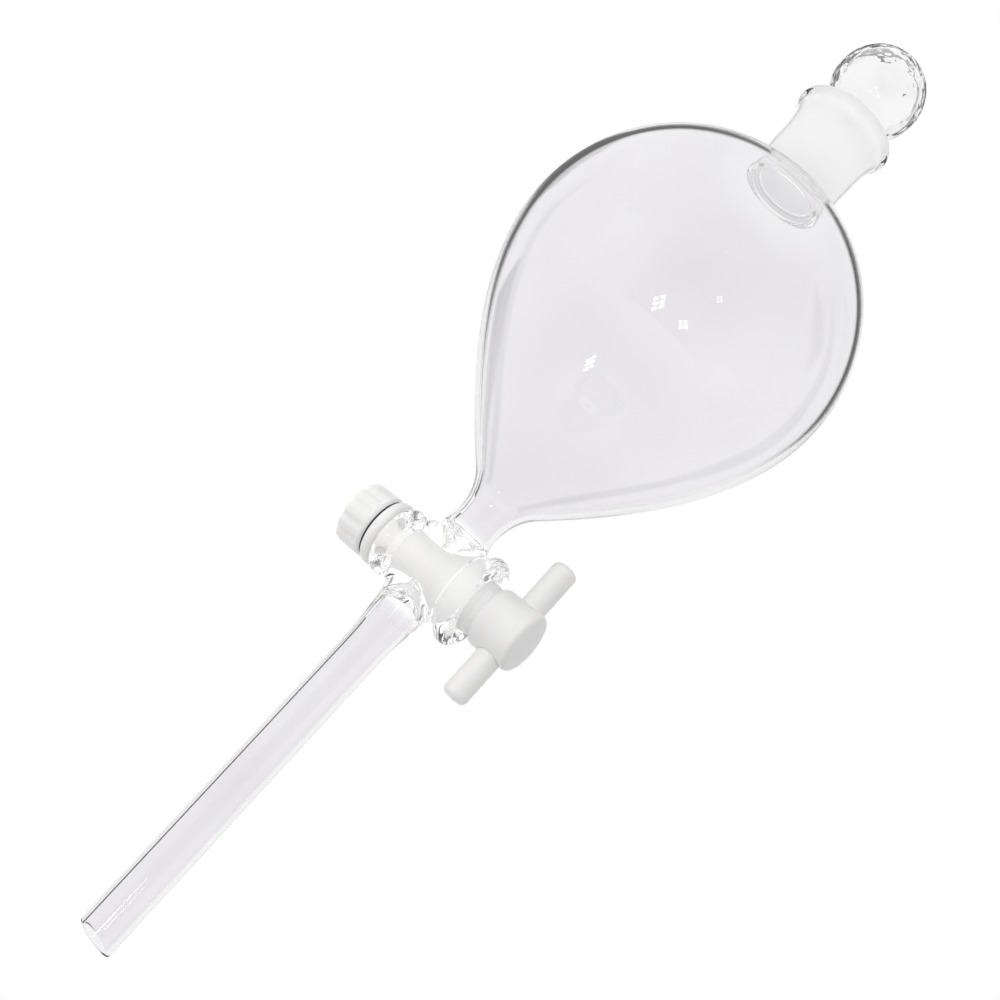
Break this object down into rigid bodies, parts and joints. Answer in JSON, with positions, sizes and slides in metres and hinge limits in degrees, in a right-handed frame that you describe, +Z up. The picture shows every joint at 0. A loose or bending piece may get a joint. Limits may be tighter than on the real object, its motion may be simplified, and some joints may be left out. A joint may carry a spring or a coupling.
{
  "type": "separatory funnel",
  "caption": "Pear-bulb glass separatory funnel with a ground neck, a hollow ball stopper, a crosswise plastic stopcock with T-handle and fluted nut, and a long straight outlet stem.",
  "frame": {"origin": "centre of the outlet stem's tip, at its lowest level", "axes": "+Z up the funnel's axis towards the neck; the stopcock's axis lies along X, its handle at +X and its nut at -X"},
  "size_m": [0.1016, 0.1016, 0.3297],
  "materials": {
    "clear_glass": "polished",
    "frosted_glass": "ground",
    "white_plastic": "satin",
    "black_rubber": "matte"
  },
  "bodies": {
    "glass_body": {"neck_socket": "frosted_glass", "bulb": "clear_glass", "tail_tube": "clear_glass", "stopcock_barrel": "clear_glass", "stem": "clear_glass"},
    "stopper": {"stopper_cone": "frosted_glass", "stopper_ball": "clear_glass"},
    "plug": {"stopcock_plug": "white_plastic", "handle_bar": "white_plastic"},
    "seal_stack": {"washer": "white_plastic", "o_ring": "black_rubber"},
    "nut": {"nut": "white_plastic"}
  },
  "joints": [
    {"name": "stopper_lift", "type": "slide", "parent": "glass_body", "child": "stopper", "axis": [0, 0, 1], "range_m": [0, 0.04]},
    {"name": "tap_turn", "type": "hinge", "parent": "glass_body", "child": "plug", "pos_m": [0, 0, 0.125], "axis": [1, 0, 0], "continuous": true},
    {"name": "seal_slide", "type": "slide", "parent": "plug", "child": "seal_stack", "axis": [-1, 0, 0], "range_m": [0, 0.006]},
    {"name": "nut_turn", "type": "hinge", "parent": "seal_stack", "child": "nut", "pos_m": [0, 0, 0.125], "axis": [-1, 0, 0], "range_deg": [0, 1440]}
  ],
  "couplings": [
    {"joint": "seal_slide", "follows": "nut_turn", "m_per_rad": 0.00023873}
  ]
}
